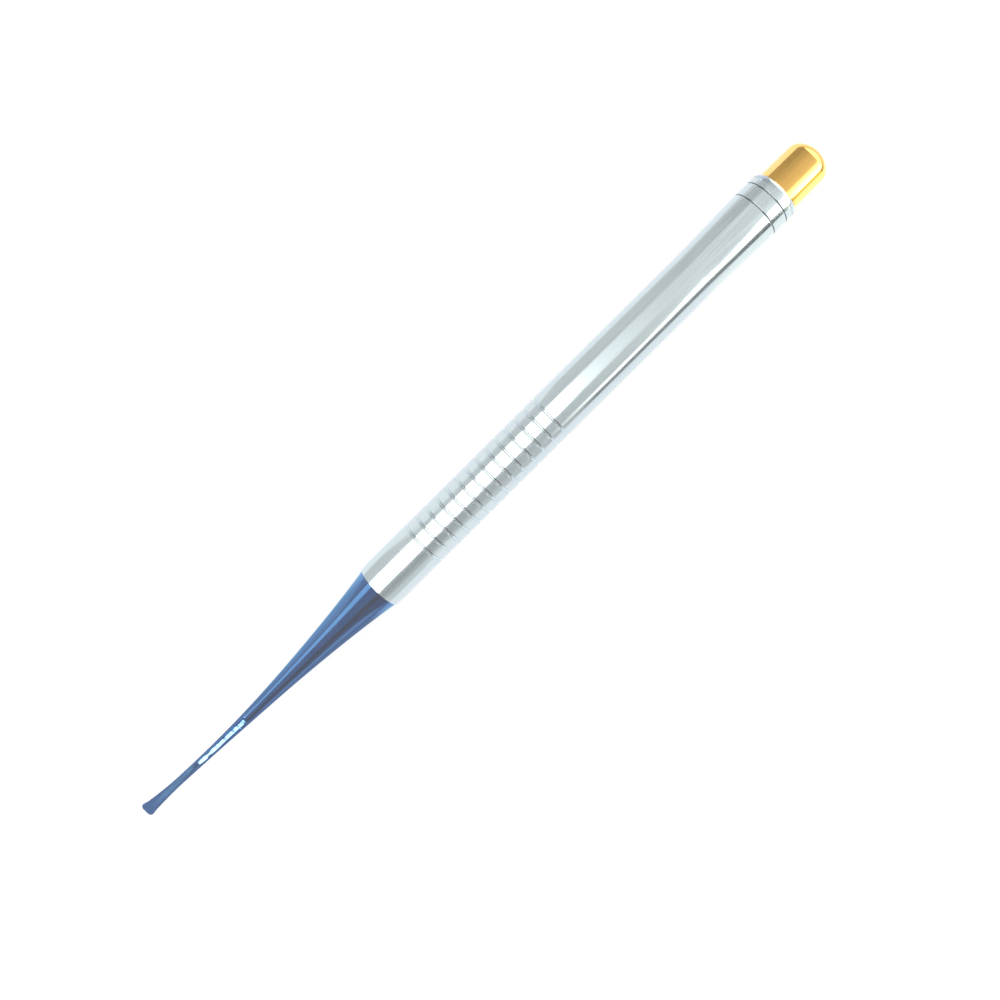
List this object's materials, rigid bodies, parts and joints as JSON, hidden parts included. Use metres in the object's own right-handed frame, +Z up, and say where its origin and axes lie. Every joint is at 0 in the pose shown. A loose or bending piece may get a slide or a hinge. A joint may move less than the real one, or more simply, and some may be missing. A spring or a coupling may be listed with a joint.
{
  "type": "dental luxator",
  "caption": "Straight dental luxator: thin flared hollow-ground blade on a trumpet cone, round steel handle with fine grip grooves, domed end cap.",
  "frame": {"origin": "on the instrument's axis, in the middle of the handle's grip grooves", "axes": "+X along the axis from the blade to the end cap, +Z up out of the hollow face of the blade"},
  "size_m": [0.1746, 0.0102, 0.0102],
  "materials": {
    "blue_coating": "blue hard coating on polished steel",
    "polished_steel": "fine turned, polished",
    "gold_finish": "polished gold colour"
  },
  "bodies": {
    "root": {"blade": "blue_coating", "handle": "polished_steel", "end_cap": "gold_finish"}
  },
  "joints": []
}
